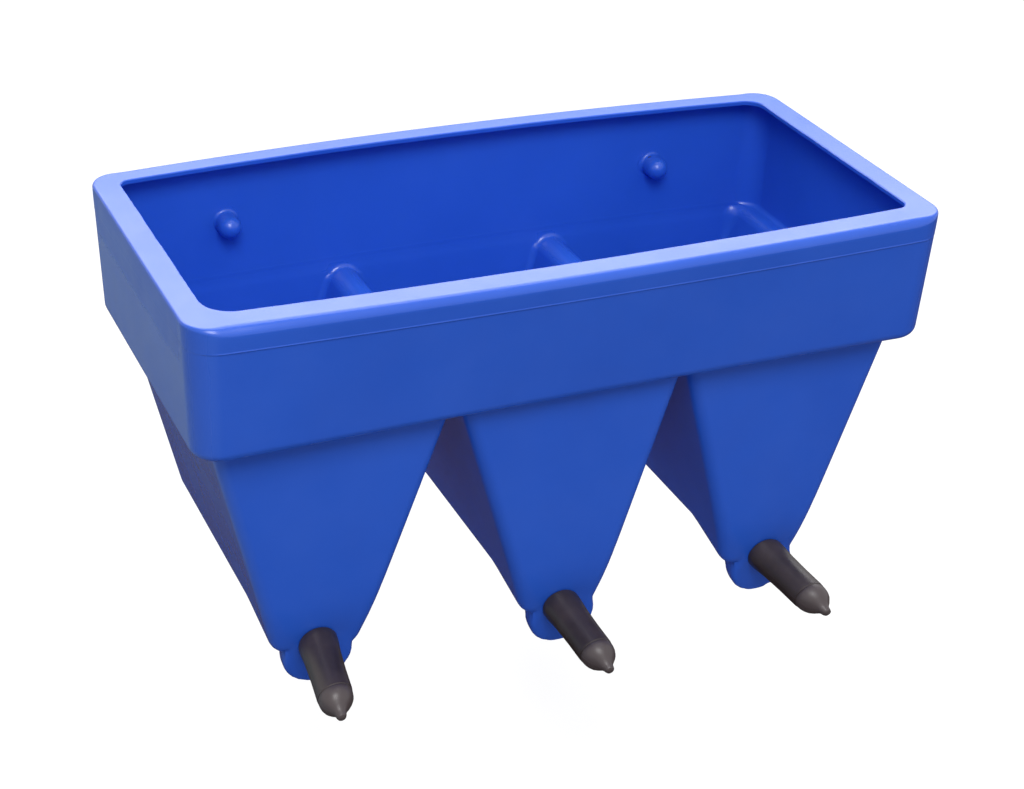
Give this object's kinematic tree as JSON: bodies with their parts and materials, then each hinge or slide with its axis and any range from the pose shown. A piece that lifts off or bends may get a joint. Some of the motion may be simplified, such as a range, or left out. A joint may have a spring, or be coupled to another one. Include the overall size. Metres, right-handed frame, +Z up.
{
  "type": "multi-teat calf milk feeder",
  "caption": "Moulded plastic milk trough whose tapered compartments each end in a rubber teat, with hooked steel hangers behind for hanging it on a rail.",
  "frame": {"origin": "on top of the rail that the feeder hangs on: level with the underside of both hangers' arms, midway between the hangers and midway across the hook gap", "axes": "+X to the right along the rail, seen from the teats' side; +Y away from the teats, from the trough towards the rail; +Z up"},
  "size_m": [0.7194, 0.4795, 0.4138],
  "materials": {
    "blue_plastic": "rotomoulded polyethylene, softly glossy",
    "black_rubber": "moulded natural rubber, matte with a dull sheen",
    "insert_brass": "turned brass",
    "galvanised_steel": "hot-dip galvanised, dull spangle",
    "zinc_plated_steel": "bright zinc plated"
  },
  "bodies": {
    "trough": {"tub_shell": "blue_plastic", "teat_left": "black_rubber", "teat_middle": "black_rubber", "teat_right": "black_rubber", "insert_left": "insert_brass", "insert_right": "insert_brass", "flat_washer_left": "zinc_plated_steel", "flat_washer_right": "zinc_plated_steel", "spring_washer_left": "zinc_plated_steel", "spring_washer_right": "zinc_plated_steel", "hanger_bolt_left": "zinc_plated_steel", "hanger_bolt_right": "zinc_plated_steel"},
    "hanger_left": {"hanger_left": "galvanised_steel"},
    "hanger_right": {"hanger_right": "galvanised_steel"}
  },
  "joints": [
    {"name": "hanger_left_swivel", "type": "hinge", "parent": "trough", "child": "hanger_left", "pos_m": [-0.229, -0.0363, -0.022], "axis": [0, 1, 0], "continuous": true},
    {"name": "hanger_right_swivel", "type": "hinge", "parent": "trough", "child": "hanger_right", "pos_m": [0.229, -0.0363, -0.022], "axis": [0, 1, 0], "continuous": true}
  ]
}
